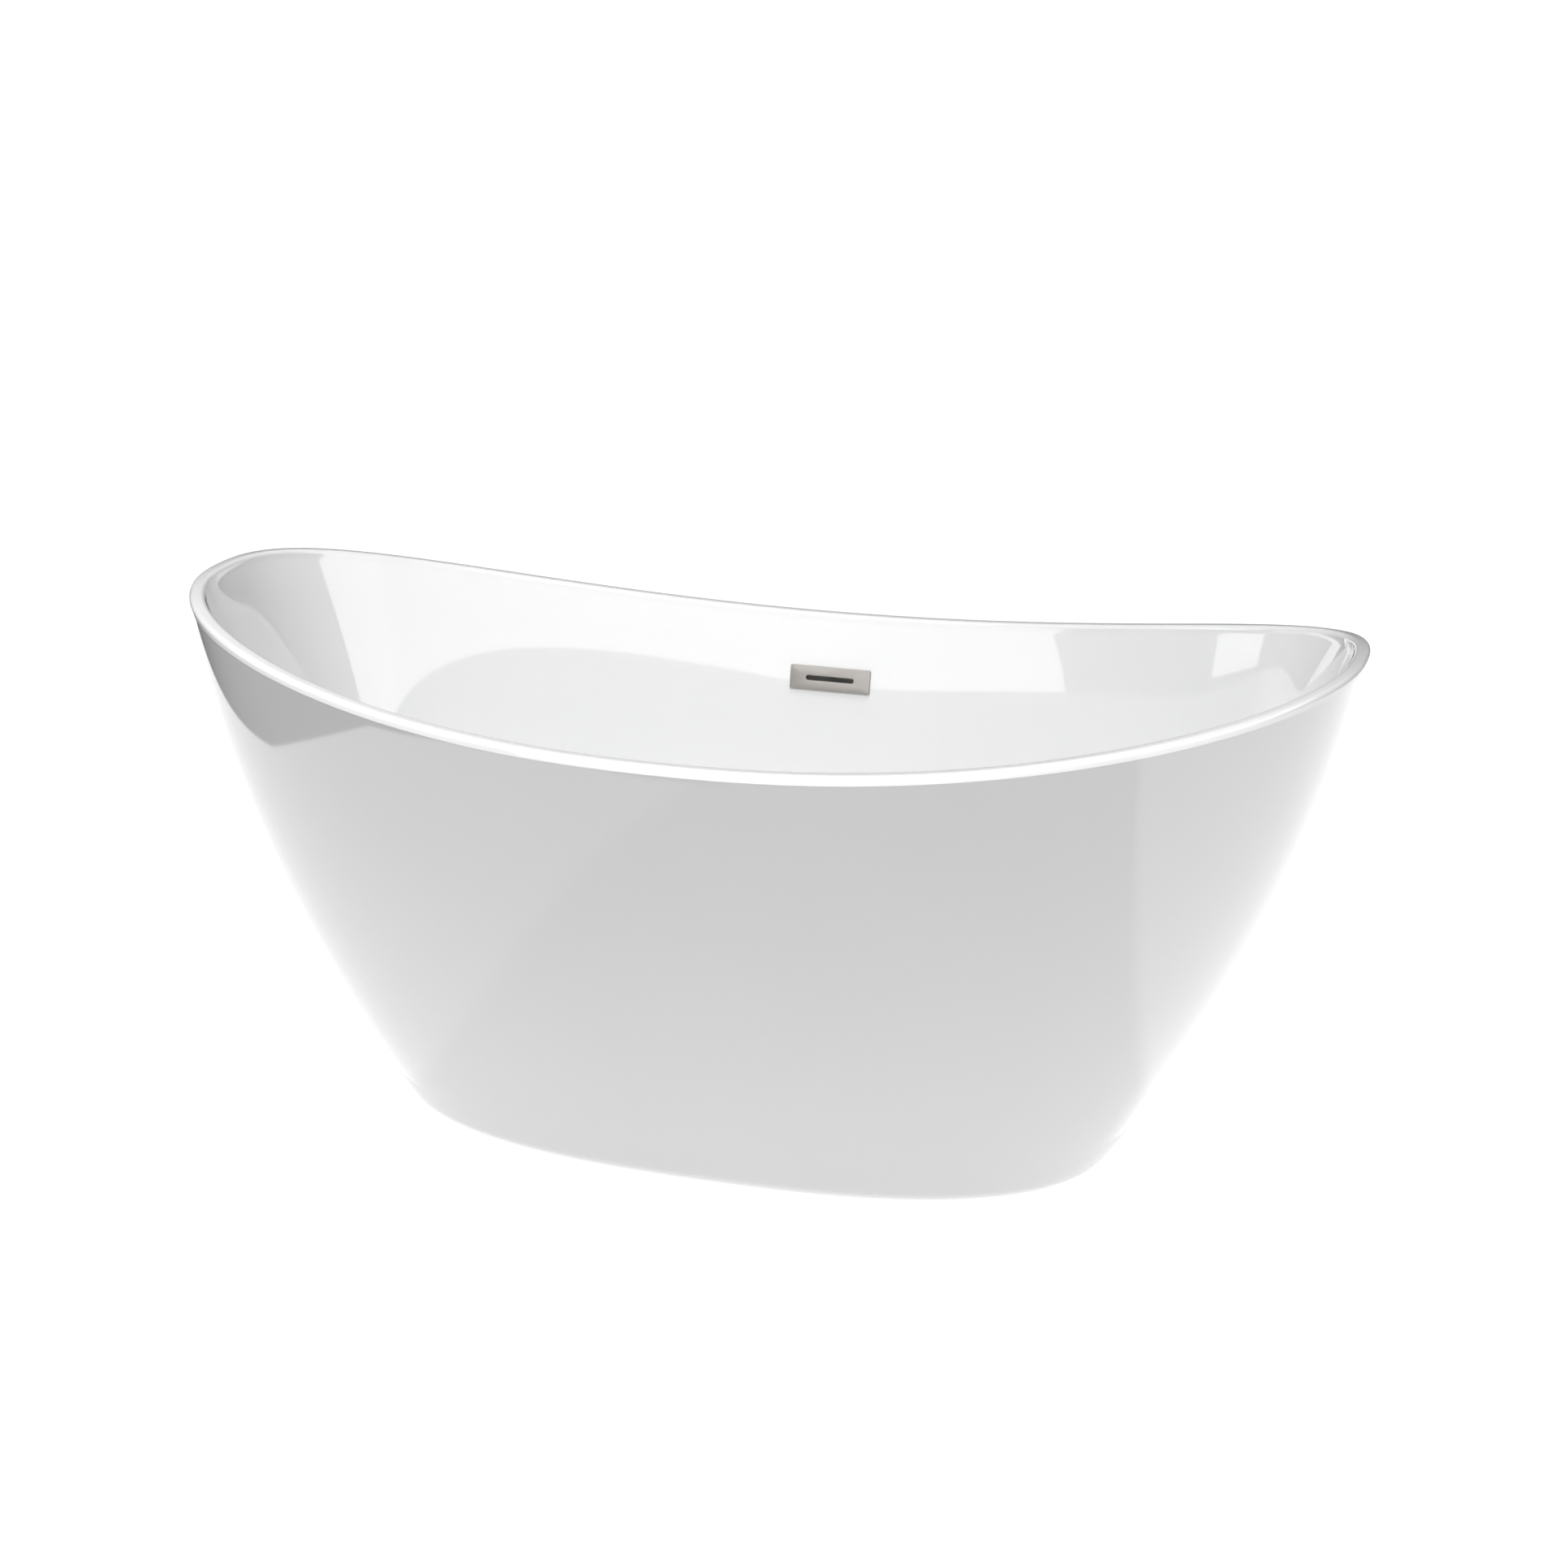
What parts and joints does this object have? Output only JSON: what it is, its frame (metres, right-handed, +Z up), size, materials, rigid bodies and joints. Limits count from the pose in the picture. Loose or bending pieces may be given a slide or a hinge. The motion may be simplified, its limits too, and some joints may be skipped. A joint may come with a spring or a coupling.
{
  "type": "freestanding bathtub",
  "caption": "Freestanding oval bathtub with raised ends: acrylic basin and skirt on a steel frame with levelling feet, slotted overflow and push plug.",
  "frame": {"origin": "centre of the footprint on the bathroom floor", "axes": "+X along the tub, +Y across it towards the wall that carries the overflow, +Z up"},
  "size_m": [1.5978, 0.768, 0.726],
  "materials": {
    "acrylic": "gloss white sanitary acrylic",
    "resin": "cured polyester resin",
    "board": "resin-sealed plywood",
    "galvanised": "galvanised steel tube",
    "zinc": "zinc-plated steel",
    "black_plastic": "moulded black plastic",
    "rubber": "black seal rubber",
    "rubber_foot": "black rubber foot",
    "brushed_nickel": "brushed nickel",
    "white_plastic": "moulded white ABS",
    "grey_plastic": "moulded grey acetal",
    "hose": "flexible grey-white waste hose",
    "chrome_tube": "polished chrome tube",
    "brass": "turned brass"
  },
  "bodies": {
    "tub": {"basin": "acrylic", "skirt": "acrylic", "rim_bond": "resin", "base_board": "board", "rail_front": "galvanised", "rail_rear": "galvanised", "cross_bar_left": "galvanised", "cross_bar_right": "galvanised", "tube_end_caps": "black_plastic", "board_screws": "zinc", "skirt_brackets": "galvanised", "bracket_screws": "zinc", "foot_weld_nuts": "zinc", "foot_lock_nuts": "zinc", "overflow_plate": "brushed_nickel", "overflow_clips": "zinc", "overflow_gasket": "rubber", "overflow_body": "white_plastic", "overflow_screws": "zinc", "overflow_hose": "hose", "hose_clamps": "zinc", "drain_flange": "brushed_nickel", "drain_crossbar": "zinc", "flange_seal": "rubber", "basin_gasket": "rubber", "drain_lock_nut": "white_plastic", "waste_tee": "white_plastic", "tailpiece": "chrome_tube", "tailpiece_washer": "rubber", "tailpiece_nut": "white_plastic", "plug_cartridge": "grey_plastic", "plug_spring": "zinc"},
    "plug": {"plug_cap": "brushed_nickel", "plug_seal": "rubber", "plug_stem": "brass"},
    "pad_1": {"foot_pad_1": "rubber_foot"},
    "stud_1": {"foot_stud_1": "zinc"},
    "pad_2": {"foot_pad_2": "rubber_foot"},
    "stud_2": {"foot_stud_2": "zinc"},
    "pad_3": {"foot_pad_3": "rubber_foot"},
    "stud_3": {"foot_stud_3": "zinc"},
    "pad_4": {"foot_pad_4": "rubber_foot"},
    "stud_4": {"foot_stud_4": "zinc"}
  },
  "joints": [
    {"name": "plug_lift", "type": "slide", "parent": "tub", "child": "plug", "axis": [0, 0, 1], "range_m": [0, 0.009]},
    {"name": "foot_1_lift", "type": "slide", "parent": "tub", "child": "pad_1", "axis": [0, 0, -1], "range_m": [-0.0035, 0.021]},
    {"name": "foot_1_turn", "type": "hinge", "parent": "pad_1", "child": "stud_1", "pos_m": [-0.31, -0.15, 0.05], "axis": [0, 0, -1], "range_deg": [-725, 4325]},
    {"name": "foot_2_lift", "type": "slide", "parent": "tub", "child": "pad_2", "axis": [0, 0, -1], "range_m": [-0.0035, 0.021]},
    {"name": "foot_2_turn", "type": "hinge", "parent": "pad_2", "child": "stud_2", "pos_m": [0.31, -0.15, 0.05], "axis": [0, 0, -1], "range_deg": [-725, 4325]},
    {"name": "foot_3_lift", "type": "slide", "parent": "tub", "child": "pad_3", "axis": [0, 0, -1], "range_m": [-0.0035, 0.021]},
    {"name": "foot_3_turn", "type": "hinge", "parent": "pad_3", "child": "stud_3", "pos_m": [0.31, 0.15, 0.05], "axis": [0, 0, -1], "range_deg": [-725, 4325]},
    {"name": "foot_4_lift", "type": "slide", "parent": "tub", "child": "pad_4", "axis": [0, 0, -1], "range_m": [-0.0035, 0.021]},
    {"name": "foot_4_turn", "type": "hinge", "parent": "pad_4", "child": "stud_4", "pos_m": [-0.31, 0.15, 0.05], "axis": [0, 0, -1], "range_deg": [-725, 4325]}
  ],
  "couplings": [
    {"joint": "foot_1_turn", "follows": "foot_1_lift", "rad_per_m": 3590.4},
    {"joint": "foot_2_turn", "follows": "foot_2_lift", "rad_per_m": 3590.4},
    {"joint": "foot_3_turn", "follows": "foot_3_lift", "rad_per_m": 3590.4},
    {"joint": "foot_4_turn", "follows": "foot_4_lift", "rad_per_m": 3590.4}
  ]
}
